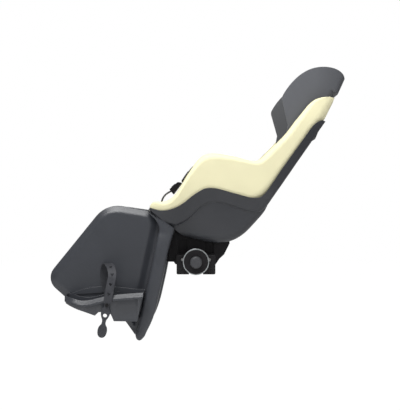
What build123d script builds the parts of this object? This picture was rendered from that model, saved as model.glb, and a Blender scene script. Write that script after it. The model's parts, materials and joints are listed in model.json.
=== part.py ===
from build123d import *
import math
import os

os.makedirs("parts", exist_ok=True)

# Child bike seat for a rear carrier. Millimetres, +X to the rear, -Y the rider's left, +Z up.
# The origin is the middle of the bracket's underside, on top of the carrier, below the clamp knob.

# Fits
gap = 0.35            # clearance between moulded pieces that seat on each other
shell_gap = 0.5       # clearance between the seat shell and the base
run = 0.5             # clearance of a sliding piece in its guide
wall = 3.6            # wall of the seat shell
base_wall = 3.2       # wall of the base shell

# The shells are swung about a line across the seat, above the lap. Each section row holds:
# angle from straight down, rim radius, half width at the rim, pan radius, half width at the pan, rim curl
swing_x = -60
swing_z = 515
tub_rows = [
    (-9.6, 360, 137, 376, 130, 2.5),
    (-6.0, 347, 144, 385, 130, 6),
    (-2.7, 343, 149, 387, 128, 9),
    (1.7, 321, 153, 389, 122, 11),
    (5.0, 296, 156, 392, 115, 12),
    (9.8, 267, 159, 397, 107, 12),
    (13.6, 251, 162, 403, 102, 13),
    (17.5, 241, 163, 407, 99, 13),
    (22.0, 239, 164, 410, 101, 13),
    (26.0, 245, 165, 412, 105, 13),
    (32.0, 265, 165, 414, 118, 13),
    (37.0, 291, 164, 412, 128, 13),
    (42.0, 322, 163, 406, 132, 12),
    (47.0, 327, 161, 400, 134, 12),
    (54.0, 331, 160, 395, 136, 12),
    (61.0, 339, 158, 396, 138, 12),
    (66.5, 345, 156, 404, 139, 12),
    (71.0, 354, 155, 416.5, 140, 11),
    (75.5, 366, 153, 423, 141, 10),
    (78.0, 380, 152, 427, 142, 8),
    (79.2, 395, 151, 428, 143, 6),
    (79.8, 412, 150, 428.5, 144, 3.5),
]
tub_corner = 40       # radius between pan and side walls

# Base shell along the same angles: parting radius, band bottom radius
band_rows = [
    (-9.6, 366, 398),
    (-6.0, 369, 403),
    (-2.0, 367, 407),
    (1.7, 359, 407),
    (5.0, 348, 397),
    (8.4, 335, 381),
    (12.0, 326, 367),
    (15.0, 322, 363),
    (18.0, 325, 366),
    (21.0, 334, 377),
    (25.0, 353, 400),
    (29.0, 376, 427),
    (32.0, 395, 437),
    (34.5, 404, 434),
    (37.5, 402, 426),
    (42.0, 393, 416.5),
    (48.0, 384.5, 408.5),
    (54.0, 382, 405),
    (60.0, 384, 406.5),
    (65.7, 389.5, 411.5),
    (69.0, 397, 416.5),
    (71.0, 411, 420),
]
# Belly below the band: angle, bottom radius, half width at the bottom
belly_rows = [
    (-9.6, 415, 88),
    (0.0, 429, 90),
    (8.7, 452, 92),
    (14.0, 468, 94),
    (18.0, 475, 96),
    (22.0, 473, 98),
    (26.5, 462, 101),
    (31.0, 449, 104),
    (34.5, 437, 107),
    (37.5, 417, 109),
    (40.0, 402, 111),
]
belly_step = 6        # how far the belly stands in from the band
band_proud = 2.0      # how far the band stands out past the seat shell
belly_corner = 26
band_corner = 13      # rounding of the band's lower edge
# The base's front ends on a slanted wall that the leg guards bolt to
slant_top = (-123.5, 151)
slant_low = (-57, 97)


# Carrier bracket and clamp; the carrier's tubes run along X
bracket_half = 44     # half width of the bracket body
bracket_profile = [(-80, 7), (-61, 7), (-56, 0), (54, 0), (64, 15), (77, 27), (92, 57), (92, 110), (-80, 110)]
spindle_z = 11.5      # spindle axis above the carrier
spindle_r = 5
spindle_end = 100     # far end of the spindle
jaw_length = 104      # along the carrier tube
jaw_thick = 26        # across the seat
jaw_top = 27.5
jaw_low = -24
jaw_y = 75            # rest place of the carrier tube's centre line
tube_r = 8            # largest carrier tube the jaws take
jaw_gap = 38          # opening between a jaw's two feet
tooth_pitch = 5
pad_thick = 2.0
knob_r = 34.6
knob_y = 104          # inner face of the knob
knob_deep = 22
ring_wide = 2.6
cap_r = 15.5
collar_r = 9
jaw_lip = 3           # how far a jaw's top reaches in past the tube
tooth_tall = 17       # height of the teeth on a foot's outer side
guide_x = 36          # guide rods that keep the jaws square
guide_z = 15
guide_r = 4
guide_end = 86
cap_sink = 6
cap_out = 24
collar_wide = 6
pocket_wide = 26
pocket_deep = 12
bolt_x = 22
bolt_y = 26
bolt_long = 72
screw_r = 2.5
head_r = 4.6
head_deep = 3.0

# Leg guards: a panel between leg and wheel, with a rail at its rear that the footrest slides on
guard_y = 98          # inner face of the panel
guard_wall = 4
guard_outline = [
    (-57, 97), (-120, 149), (-240, 165), (-403, -36), (-340, -92), (-193, -142), (-156, -192), (-117, -140),
]
guard_round = [3, 6, 48, 36, 30, 8, 10, 40]
guard_rim = 15        # how far the raised top border stands out from the panel's inner face
guard_slide = 22      # height of the top border, measured along the guard's front edge
guard_slope = 50      # slope of the border's lower side, in degrees
guard_soft = 5        # rounding of the border and of the rail
rail_out = 140        # outer face of the rail
rail_foot = (-147, -127)
rail_head = (-92, 127)
slot_wide = 12        # track for the footrest's tongue
slot_deep = 12
slot_y = 120
guard_screw_y = 104
rail_top = 112        # where the rail's front turns in to the top border
rail_round = [0, 26, 0, 0, 40, 12, 7]
rail_notch = 12       # spacing of the height notches
rail_head_past = (-126, 158)   # the rail's upper end, past the slanted wall that trims it
rail_rear_past = (-52, 117)
cell_low = -125       # cells that lighten the rail from its inner side, with ribs between them
cell_step = 42
cell_rib = 4
cell_count = 5
cell_deep = 36
# Footrests
tray_long_front = -341
tray_rim = [(-338, -72), (-318, -77), (-292, -83), (-236, -73), (-180, -66)]
tray_sole = [(-341, -82), (-334, -92), (-300, -106), (-257, -121), (-248, -112), (-219, -112), (-209, -135)]
tray_arch = [(-338, -77), (-310, -65), (-240, -54), (-180, -59)]
tray_top = -63        # rim height at the heel
tray_low = -136       # underside at the heel
tray_out = 186        # outer wall
tray_wall = 3.4
tray_toe_round = 42
tray_lip = 2.4        # border round the rim
tray_lip_tall = 15
tray_lip_slope = 4    # bevel of the border's outer edge
tongue_long = 62
peg_x = -226
peg_z = -93.5
peg_r = 3.2
# Foot straps
strap_wide = 21
strap_thick = 3
strap_lean = 10.3
strap_loop_z = 63     # start of the loop above the peg
strap_tail = 83       # pull tab's end below the peg

# Headrest: a winged channel that slides up and down in the back. Its own frame starts at its rear
# lower corner, with one direction up along the back and one forward
head_x = 383.5
head_z = 470
head_lean = 24.5      # slide direction, from straight up
head_wall = 4
head_half = 107       # half width at the rear
head_round = 20
head_flare = 0.25     # widening of the wings for each millimetre forward
head_step = 12        # how far the lower part stands in front of the upper rear face
head_sole = -14       # where the thicker upper part begins
# Outline in side view: forward from the rear face, up along the back
head_crown = [(-1, 29), (16, 39), (60, 33), (98, 6), (126, -46), (133, -80)]
head_foot = [(134, -93), (88, -150), (78, -192), (12, -97), (12, -14), (-1, -14)]
head_nose = 20        # rounding of the wings' front corner
key_y = 45            # the two keys that the headrest slides on
key_z = -52           # their place along the back, with the headrest at rest
key_wide = 14
key_long = 16
key_head = 22
head_up = 36          # travel of the headrest from rest
head_down = 4
latch_wide = 56
latch_low = -30
latch_high = -1
latch_travel = 4
# Rear reflector on the back cover
reflector_at = 68
reflector_wide = 92
reflector_tall = 32
reflector_proud = 8
lens_rim = 4
lens_thick = 3
# Harness: side-view course of the shoulder straps from the buckle to the back, and of the crotch strap
webbing_wide = 25
webbing_thick = 1.8
shoulder_path = [
    (-40, 227), (-19, 257), (0, 275), (36, 286), (90, 270),
    (150, 255), (207, 261), (247, 294), (301.4, 340.6),
]
crotch_path = [(-102, 138), (-99, 160), (-93, 181), (-84, 193), (-66, 204)]
strap_y_low = 13      # middle of a shoulder strap at the buckle and at the back
strap_y_high = 54
buckle_outline = [(-74, 206.5), (-51, 226.5), (-38, 224.8), (-62.7, 192)]
buckle_half = 20
button_half = 10
button_long = 14
button_travel = 3
bar_r = 2.2
# Soft liner
liner_thick = 9
liner_half = 80


def swing_plane(angle):
    """Plane across the seat at an angle from straight down; its y points away from the lap."""
    a = math.radians(angle)
    return Plane((swing_x, 0, swing_z), x_dir=(0, 1, 0), z_dir=(-math.cos(a), 0, -math.sin(a)))


def tub_row(angle):
    """Section values of the tub at any angle, straight between its rows."""
    for low, high in zip(tub_rows, tub_rows[1:]):
        if angle <= high[0]:
            share = (angle - low[0]) / (high[0] - low[0])
            return [a + (b - a) * share for a, b in zip(low, high)]
    return tub_rows[-1]


def side_width(row, radius, out=0.0):
    """Half width of the tub's outer wall at a radius, grown outward by a distance."""
    _, rim, w_rim, pan, w_pan, _ = row
    slope = (w_pan - w_rim) / (pan - rim)
    return w_rim + slope * (radius - rim) + out * math.hypot(1, slope)


def skin_path(row, out):
    """Outline of the tub across the seat, moved outward from its outer skin: curled rim, side walls, pan."""
    angle, rim, w_rim, pan, w_pan, curl = row
    corner = min(tub_corner, 0.55 * (pan - rim))
    tip = w_rim - curl - 2 * wall
    high = (side_width(row, rim - out, out), rim - out)
    low = (side_width(row, pan + out, out), pan + out)
    half = [(tip, rim - out), high, low]
    points = half + [(-x, y) for x, y in reversed(half)]
    r_rim = max(curl + out, 1.0)
    r_pan = max(corner + out, 1.5)
    return FilletPolyline(*points, radius=[r_rim, r_pan, r_pan, r_rim]), points


def u_face(row):
    """Closed section of the tub: outer skin and the inner skin one wall inside it."""
    outer, outer_points = skin_path(row, 0)
    inner, inner_points = skin_path(row, -wall)
    ends = [Line(outer_points[i], inner_points[i]) for i in (0, -1)]
    return swing_plane(row[0]) * make_face(Curve() + [outer, inner] + ends)


def d_face(angle, w_top, r_top, w_low, r_low, corner):
    """Filled section with a flat lid, sloping sides and rounded lower corners."""
    points = [(w_top, r_top), (w_low, r_low), (-w_low, r_low), (-w_top, r_top)]
    path = FilletPolyline(*points, radius=[corner, corner])
    return swing_plane(angle) * make_face(Curve() + [path, Line((w_top, r_top), (-w_top, r_top))])


def tub_fill(out):
    """The tub as a filled body, its outer skin moved outward; cuts whatever seats around it or lies in it."""
    faces = []
    for row in tub_rows:
        path, points = skin_path(row, out)
        faces.append(swing_plane(row[0]) * make_face(Curve() + [path, Line(points[0], points[-1])]))
    return loft(faces)


def side_face(*edges):
    """Closed outline drawn in side view (x, z), on the middle plane, facing the rider's left."""
    return Plane.XZ * make_face(Curve() + list(edges))


def across(face, y_from, y_to):
    """A side-view face made into a solid between two places across the seat."""
    return extrude(Pos(0, y_to, 0) * face, y_to - y_from, dir=(0, -1, 0))


def mirrored(shape):
    """The same piece on the rider's right."""
    return mirror(shape, about=Plane.XZ)


def band_low(angle):
    """Bottom radius of the band at any angle."""
    for low, high in zip(band_rows, band_rows[1:]):
        if angle <= high[0]:
            share = (angle - low[0]) / (high[0] - low[0])
            return low[2] + (high[2] - low[2]) * share
    return band_rows[-1][2]


def band_fill(inset, lid, ends):
    """Side band and back cover of the base as a filled body, one inset inside its outer form."""
    faces = []
    for i, (angle, part, low) in enumerate(band_rows):
        row = tub_row(angle)
        out = gap + base_wall + band_proud - inset
        at = angle - (ends if i == len(band_rows) - 1 else 0)
        top = part - lid
        bottom = low - inset
        corner = min(band_corner, 0.5 * (low - part)) - 0.5 * inset
        faces.append(d_face(at, side_width(row, top, out), top, side_width(row, bottom, out), bottom, corner))
    return loft(faces)


def belly_fill(inset):
    """Belly of the base as a filled body, one inset inside its outer form; its lid lies inside the band."""
    faces = []
    for angle, low, w_low in belly_rows:
        row = tub_row(angle)
        top = min(band_low(angle) - band_corner - 2 * base_wall, low - band_corner)
        corner = min(belly_corner, 0.6 * (low - top)) - 0.5 * inset
        w_top = side_width(row, top, gap + base_wall + band_proud) - belly_step - inset
        faces.append(d_face(angle, w_top, top, w_low - inset, low - inset, corner))
    return loft(faces)


def slant_cut(inset):
    """Everything in front of the base's slanted front wall, one inset behind its outer face."""
    along = Vector(slant_low[0] - slant_top[0], 0, slant_low[1] - slant_top[1]).normalized()
    back = Vector(-along.Z, 0, along.X)
    start = Vector(slant_top[0], 0, slant_top[1]) - along * 600 + back * inset
    end = start + along * 1200
    corners = [start, end, end - back * 900, start - back * 900]
    return across(side_face(Polyline(*[(v.X, v.Z) for v in corners], close=True)), -300, 300)


def make_base():
    outer = band_fill(0, 0, 0) + belly_fill(0) - slant_cut(0)
    inner = band_fill(base_wall, 20, 0.6) - slant_cut(base_wall)
    hollow = belly_fill(base_wall) - slant_cut(base_wall)
    return outer - tub_fill(shell_gap) - inner - hollow


seat_shell = loft([u_face(row) for row in tub_rows])
base_shell = make_base()


def rod(radius, y_from, y_to, x=0.0, z=0.0):
    """Round bar across the seat."""
    return Pos(x, y_to, z) * extrude(Plane.XZ * Circle(radius), y_to - y_from, dir=(0, -1, 0))


def make_bracket():
    """Bracket body: side profile across the middle with pockets and ribs, cut to the base's belly."""
    body = across(side_face(Polyline(*bracket_profile, close=True)), -bracket_half, bracket_half)
    body = fillet(body.edges().filter_by(Axis.Z).group_by(Axis.X)[0], 6)
    for side in (-1, 1):
        for x in (-guide_x, guide_x):
            body -= Pos(x, side * bracket_half, guide_z + 34) * Box(pocket_wide, 2 * pocket_deep, 40)
        body -= rod(collar_r + run, *sorted((side * (bracket_half - collar_wide), side * 60)), z=spindle_z)
    body -= rod(spindle_r + run, -100, 100, z=spindle_z)
    for x in (-guide_x, guide_x):
        body -= rod(guide_r, -100, 100, x, guide_z)
    return body - belly_fill(-gap) - bracket_bolts(gap)


def bracket_bolts(grow):
    """Four bolts from the rest face up into the belly; grown, they cut their own holes."""
    bolts = []
    upward = (Align.CENTER, Align.CENTER, Align.MIN)
    downward = (Align.CENTER, Align.CENTER, Align.MAX)
    for x in (-bolt_x, bolt_x):
        for y in (-bolt_y, bolt_y):
            low = head_deep + 2
            shank = Pos(x, y, low) * Cylinder(screw_r + grow, bolt_long, align=upward)
            head = Pos(x, y, low) * Cylinder(head_r + grow, head_deep + grow, align=downward)
            if grow:
                head += Pos(x, y, 0) * Cylinder(head_r + grow, low, align=upward)
            else:
                head -= Pos(x, y, low - head_deep) * extrude(RegularPolygon(head_r * 0.55, 6), 2)
            bolts.append(shank + head)
    return bolts if not grow else Part() + bolts


def make_jaw():
    """Jaw on the rider's left: a threaded block over the tube and two toothed feet that hook under it."""
    inner = -(jaw_y - tube_r - jaw_lip)
    outer = inner - jaw_thick
    bore = tube_r + pad_thick
    jaw = Pos(0, (inner + outer) / 2, (jaw_top + jaw_low) / 2) * Box(jaw_length, jaw_thick, jaw_top - jaw_low)
    jaw = fillet(jaw.edges().filter_by(Axis.Y), 4)
    jaw -= Pos(0, -jaw_y, -tube_r) * Rot(0, 90, 0) * Cylinder(bore, jaw_length + 2)
    jaw -= Pos(0, (inner - jaw_y) / 2 + 1, -tube_r) * Box(jaw_length + 2, inner + jaw_y + 2, 2 * bore)
    jaw -= Pos(0, -jaw_y, jaw_low - 2) * Box(jaw_gap, 60, 2 * (bore - tube_r - jaw_low + 2))
    jaw -= rod(spindle_r + run, -150, 0, z=spindle_z)
    for x in (-guide_x, guide_x):
        jaw -= rod(guide_r + run, -150, 0, x, guide_z)
    count = int((jaw_length - jaw_gap) / 2 / tooth_pitch)
    for side in (-1, 1):
        for i in range(count):
            x = side * (jaw_gap / 2 + tooth_pitch * (i + 0.75))
            jaw -= Pos(x, outer, jaw_low) * Box(tooth_pitch * 0.45, 3, 2 * tooth_tall)
    return jaw


def make_jaw_pads():
    """Rubber linings in a jaw's groove, one in each foot."""
    pads = []
    foot = (jaw_length - jaw_gap) / 2
    for side in (-1, 1):
        centre = Pos(side * (jaw_gap / 2 + foot / 2), -jaw_y, -tube_r) * Rot(0, 90, 0)
        pad = centre * (Cylinder(tube_r + pad_thick, foot - 2) - Cylinder(tube_r, foot))
        pads.append(pad & Pos(0, -jaw_y - 50, 0) * Box(300, 100, 100))
    return pads


def make_knob():
    """Clamp knob on the rider's left: round grip, silver ring round its rim, raised cap in its middle."""
    near = -knob_y - knob_deep
    body = rod(knob_r - ring_wide, near, -knob_y, z=spindle_z)
    body = chamfer(body.edges().group_by(Axis.Y)[0], 1.5)
    seat = rod(knob_r, near + 3, -knob_y - 5, z=spindle_z) - rod(knob_r - ring_wide, -200, 0, z=spindle_z)
    body += rod(knob_r, -knob_y - 5 + gap, -knob_y, z=spindle_z)
    body -= rod(cap_r + gap, near, near + cap_sink, z=spindle_z)
    body -= rod(spindle_r, -knob_y - 12, 0, z=spindle_z)
    cap = rod(cap_r, near - cap_out, near + cap_sink - gap, z=spindle_z)
    cap = fillet(cap.edges().group_by(Axis.Y)[0], 5)
    return body, seat, cap


def make_spindle():
    """Clamp spindle across the bracket, with two collars that keep it in place."""
    spindle = rod(spindle_r, -knob_y - 12, spindle_end, z=spindle_z)
    collars = []
    for side in (-1, 1):
        face = side * (bracket_half - collar_wide)
        low, high = sorted((face, face + side * (collar_wide - gap)))
        collars.append(rod(collar_r, low, high, z=spindle_z) - rod(spindle_r, -200, 200, z=spindle_z))
    return spindle, collars


def rounded(points, radii):
    """Side-view outline through corner points, each with its own rounding."""
    face = make_face(Polyline(*points, close=True))
    for point, radius in zip(points, radii):
        if radius:
            corner = face.vertices().sort_by_distance((point[0], point[1], 0))[0]
            face = fillet(corner, radius)
    return Plane.XZ * face


def rail_x(z):
    """Front face of the rail at a height."""
    return rail_foot[0] + (z - rail_foot[1]) * (rail_head[0] - rail_foot[0]) / (rail_head[1] - rail_foot[1])


def make_guard():
    """Leg guard on the rider's left: dished panel, raised top border, rail with a notched track."""
    outline = rounded(guard_outline, guard_round)
    border = across(outline, -guard_y - guard_rim, -guard_y)
    border = fillet(border.faces().sort_by(Axis.Y)[0].edges(), guard_soft)
    crown, toe = guard_outline[2], guard_outline[3]
    edge = Vector(toe[0] - crown[0], 0, toe[1] - crown[1]).normalized()
    reach = guard_rim - guard_wall
    spread = reach * math.tan(math.radians(guard_slope))
    shift = edge * (guard_slide + spread)
    dish = Pos(shift.X - 2, -guard_y - guard_wall, shift.Z + 2) * outline
    border -= extrude(dish, reach + 1, taper=-guard_slope)
    rail = across(rounded(rail_outline(), rail_round), -rail_out, -guard_y)
    rail = fillet(rail.faces().sort_by(Axis.Y)[0].edges(), guard_soft)
    lean = math.degrees(math.atan2(rail_head[0] - rail_foot[0], rail_head[1] - rail_foot[1]))
    track = Pos(rail_x(-60), -slot_y, -60) * Rot(0, lean, 0) * Box(2 * slot_deep, slot_wide, 230)
    body = border + rail - track
    for i in range(8):
        z = -150 + i * rail_notch
        body -= Pos(rail_x(z) + slot_deep, -slot_y, z) * Rot(0, lean, 0) * Box(8, 5, 5)
    body = (body - rail_cells()) & slant_cut(-gap)
    return body - tub_fill(gap) - Pos(-gap, 0, 0) * tub_fill(gap)


def rail_rear(z):
    """Rear face of the rail at a height."""
    rear = guard_outline[7]
    return rear[0] + (z - rear[1]) * (rail_rear_past[0] - rear[0]) / (rail_rear_past[1] - rear[1])


def rail_cells():
    """Hollow cells behind the track, open to the wheel's side."""
    cells = []
    for i in range(cell_count):
        low = cell_low + i * cell_step
        high = low + cell_step - cell_rib
        front = slot_deep + 2 * guard_wall
        sides = [(rail_x(low) + front, low), (rail_rear(low) - guard_soft, low)]
        sides += [(rail_rear(high) - guard_soft, high), (rail_x(high) + front, high)]
        cells.append(across(side_face(Polyline(*sides, close=True)), -guard_y - cell_deep, -guard_y + 1))
    return Part() + cells


def rail_outline():
    """Side-view outline of the rail: up its front, past the base's slanted wall, down its rear to the tip."""
    tip, rear = guard_outline[6], guard_outline[7]
    front = [(rail_x(tip[1] + 12), tip[1] + 12), (rail_x(rail_top), rail_top), rail_head_past]
    return front + [rail_rear_past, rear, (tip[0] + 24, tip[1] + 22), (tip[0] + 2, tip[1] + 1)]


def tray_inner():
    """Inner face of a tray, beside its guard panel."""
    return -guard_y - guard_wall - run


def tray_plan(grow, top, low):
    """Plan outline of a tray with a rounded toe, as an upright block; grown outward and forward."""
    x_front = tray_long_front - grow
    y_out = -tray_out - grow
    y_in = tray_inner() + min(grow, 0)
    plate = make_face(Polyline((x_front, y_out), (-120, y_out), (-120, y_in), (x_front, y_in), close=True))
    plate = fillet(plate.vertices().sort_by_distance((x_front, y_out, 0))[0], tray_toe_round + grow)
    return Pos(0, 0, low) * extrude(plate, top - low)


def make_tray():
    """Footrest on the rider's left: tray with a bevelled border, a notched sole and a tongue for the rail."""
    front = run + gap
    heel_top = (rail_x(tray_top) - front, tray_top)
    heel_low = (rail_x(tray_low) - front, tray_low)
    sole = Polyline(tray_rim[0], *tray_sole, heel_low, heel_top)
    block = across(side_face(sole, Spline(*tray_rim, heel_top)), -250, 0)
    lift = 150
    tall = Polyline((tray_sole[0][0], lift), *tray_sole, heel_low, (rail_x(lift) - front, lift), close=True)
    hollow = across(Plane.XZ * offset(make_face(tall), -tray_wall, kind=Kind.INTERSECTION), -250, 0)
    arch = across(side_face(Spline(*tray_arch, heel_top), Line(heel_top, tray_arch[0])), -250, 0)
    shell = (block & tray_plan(0, 50, -250)) - (hollow & tray_plan(-tray_wall, 300, -250))
    inner_wall = Pos(0, tray_inner() - tray_wall / 2, 0) * Box(900, tray_wall, 900)
    shell += arch & tray_plan(0, 50, -250) & inner_wall
    lip_end = tray_top - tray_lip_tall
    under = [(x, z - tray_lip_tall) for x, z in tray_rim] + [(rail_x(lip_end) - front, lip_end)]
    ends = [Line(tray_rim[0], under[0]), Line(heel_top, under[-1])]
    strip = side_face(Spline(*tray_rim, heel_top), Spline(*under), *ends)
    lip = across(strip, -250, 0) & tray_plan(tray_lip, 50, -250)
    brim = lip.edges().filter_by(lambda edge: edge.center().Y < -tray_out - 0.5).group_by(Axis.Z)[-1]
    lip = chamfer(brim, tray_lip_slope)
    shell += lip - tray_plan(-tray_wall, 300, -250)
    for i in range(3):
        x = heel_low[0] - 40 - 34 * i
        shell -= Pos(x, -(tray_out + guard_y) / 2, tray_low) * Box(6, 44, 60)
    lean = math.degrees(math.atan2(rail_head[0] - rail_foot[0], rail_head[1] - rail_foot[1]))
    mid = (tray_top + tray_low) / 2
    reach = slot_deep - run
    tongue = Rot(0, lean, 0) * Box(reach + 4, slot_wide - 2 * run, tongue_long)
    return shell + Pos(rail_x(mid) + reach / 2 - 2, -slot_y, mid) * tongue


def make_foot_strap():
    """Rubber foot strap: from the tray's inner wall over the foot and down to a peg, with a pull tab."""
    y_in = tray_inner() - tray_wall - gap - strap_thick / 2
    y_out = -tray_out - tray_lip - gap - strap_thick / 2
    radius = (y_in - y_out) / 2
    loop_low = 8
    path = [Line((y_in, -loop_low), (y_in, strap_loop_z)),
            CenterArc(((y_in + y_out) / 2, strap_loop_z), radius, 0, 180),
            Line((y_out, strap_loop_z), (y_out, strap_loop_z - 8))]
    ribbon = extrude(Plane.YZ * trace(Curve() + path, strap_thick), strap_wide / 2, both=True)
    plate = Pos(0, (strap_loop_z + 4) / 2) * Rectangle(strap_wide, strap_loop_z + 4)
    plate += Pos(0, -6) * Ellipse(9, 14)
    plate += Pos(0, -25) * Ellipse(11.5, 12)
    plate += Pos(0, -44) * Rectangle(9.5, 30)
    plate += Pos(0, -strap_tail + 17.5) * Rot(0, 0, 90) * SlotOverall(35, 23)
    plate -= Circle(peg_r + gap)
    plate -= Pos(0, -27) * Ellipse(5, 4.5)
    for z in (18, 36, 54):
        plate -= Pos(0, z) * Rot(0, 0, -90) * RegularPolygon(4.6, 3)
    outer = Pos(0, y_out + strap_thick / 2, 0) * extrude(Plane.XZ * plate, strap_thick, dir=(0, -1, 0))
    strap = ribbon + outer
    anchor = rod(peg_r + gap, -130, 0)
    strap -= anchor
    return Pos(peg_x, 0, peg_z) * Rot(0, strap_lean, 0) * strap


def make_pegs():
    """Pegs that hold a foot strap: one on the tray's outer wall, one inside on its inner wall."""
    y_out = -tray_out
    outside = rod(peg_r, y_out - tray_lip - 2 * strap_thick, y_out, peg_x, peg_z)
    strap_face = y_out - tray_lip - strap_thick
    outside += rod(peg_r + 1.6, strap_face - 3.4, strap_face - 2 * gap, peg_x, peg_z)
    y_in = tray_inner() - tray_wall
    inside = rod(peg_r, y_in - strap_thick - 3, y_in, peg_x, peg_z)
    inside += rod(peg_r + 2.5, y_in - strap_thick - 3.4, y_in - strap_thick - 2 * gap, peg_x, peg_z)
    return outside, inside


def head_frame():
    """Frame of the headrest: local x forward, local y to the rider's left, local z up along the back."""
    a = math.radians(head_lean)
    up = (math.sin(a), 0, math.cos(a))
    return Plane((head_x, 0, head_z), x_dir=(-math.cos(a), 0, math.sin(a)), z_dir=up)


def head_channel(back, front, z_from, z_to):
    """Winged channel between two heights: rear wall from back to front, wings that widen forward."""
    deep = 150
    thick = head_wall * math.hypot(1, head_flare)

    def half(x):
        return head_half + head_flare * x

    outer = [(deep, half(deep)), (back, half(back)), (back, -half(back)), (deep, -half(deep))]
    inner = [(x, y - math.copysign(thick, y)) for x, y in ((deep, half(deep)), (front, half(front)))]
    inner += [(x, -y) for x, y in reversed(inner)]
    outside = FilletPolyline(*outer, radius=head_round)
    inside = FilletPolyline(*inner, radius=head_round - head_wall)
    face = make_face(Curve() + [outside, inside, Line(outer[0], inner[0]), Line(outer[3], inner[3])])
    return Pos(0, 0, z_from) * extrude(face, z_to - z_from)


def make_headrest():
    """Headrest shell: lower channel inside the seat's back, thicker upper part, trimmed to its outline."""
    front = head_step + head_wall
    face = make_face(Curve() + [Spline(*head_crown), Polyline(head_crown[-1], *head_foot, head_crown[0])])
    nose = face.vertices().sort_by_distance((*head_foot[0], 0))[0]
    outline = Plane.XZ * fillet(nose, head_nose)
    trim = extrude(Pos(0, 200, 0) * outline, 400, dir=(0, -1, 0))
    shell = (head_channel(head_step, front, -220, 60) + head_channel(-1, front, head_sole, 60)) & trim
    for y in (-key_y, key_y):
        low = key_z - key_long / 2 - head_up - run
        high = key_z + key_long / 2 + head_down + run
        shell -= Pos(head_step, y, (low + high) / 2) * Box(30, key_wide + 2 * run, high - low)
    pocket_high = latch_high + latch_travel + run
    pocket = Pos((3 + head_step) / 2, 0, (head_sole + pocket_high) / 2)
    return shell - pocket * Box(head_step - 3, latch_wide + 2 * run, pocket_high - head_sole)


def make_latch():
    """Release lever of the headrest, in a pocket between its rear skin and its channel."""
    thick = head_step - 3 - 2 * run
    lever = Box(thick, latch_wide, latch_high - latch_low)
    lever = Pos((3 + head_step) / 2, 0, (latch_low + latch_high) / 2) * lever
    return fillet(lever.edges().filter_by(Axis.Y).group_by(Axis.Z)[0], 3)


def make_keys():
    """Two keys on the seat's back that the headrest's slots run on, with heads that hold it to the back."""
    keys = []
    face = head_step + head_wall + run
    for y in (-key_y, key_y):
        shank = Pos(face / 2, y, key_z) * Box(face + 2, key_wide, key_long)
        shank += Pos(face + 1.5, y, key_z) * Box(3, key_head, key_long + 8)
        keys.append((head_frame() * shank) & tub_fill(-wall - 0.2))
    return keys


def back_frame(angle, radius, y=0.0):
    """Frame on the swung shells: local z away from the lap, local y across, local x along the back."""
    a = math.radians(angle)
    centre = (swing_x + radius * math.sin(a), y, swing_z - radius * math.cos(a))
    return Plane(centre, x_dir=(math.cos(a), 0, math.sin(a)), z_dir=(math.sin(a), 0, -math.cos(a)))


def make_reflector():
    """Reflector housing seated on the back cover, and its lens."""
    seat = band_low(reflector_at)
    frame = back_frame(reflector_at, seat)
    housing = Pos(0, 0, reflector_proud / 2 - 4) * Box(reflector_tall, reflector_wide, reflector_proud + 8)
    housing = fillet(housing.edges().filter_by(Axis.Z), 9)
    housing = chamfer(housing.faces().sort_by(Axis.Z)[-1].edges(), 1.5)
    tall = reflector_tall - 2 * lens_rim
    wide = reflector_wide - 2 * lens_rim
    recess = Pos(0, 0, reflector_proud - lens_thick / 2 + 0.5) * Box(tall, wide, lens_thick + 1)
    lens = Box(tall - 2 * gap, wide - 2 * gap, lens_thick - 0.4)
    lens = Pos(0, 0, reflector_proud - lens_thick / 2 - 0.2) * lens
    lens = fillet(lens.edges().filter_by(Axis.Z), 3)
    return (frame * (housing - recess)) - band_fill(-gap, 0, 0), frame * lens


def webbing(path, thick, wide, x_from, x_to):
    """Shoulder webbing on the rider's left: thick along a side-view path, wide along a slanted strip."""
    band = extrude(Plane.XZ * trace(Spline(*path), thick), 140, dir=(0, -1, 0))
    x_low, x_high = path[0][0], path[-1][0]

    def mid(x):
        return -strap_y_low - (strap_y_high - strap_y_low) * (x - x_low) / (x_high - x_low)

    strip = [(x_from, mid(x_from) - wide / 2), (x_to, mid(x_to) - wide / 2),
             (x_to, mid(x_to) + wide / 2), (x_from, mid(x_from) + wide / 2)]
    return band & extrude(make_face(Polyline(*strip, close=True)), 600)


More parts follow.
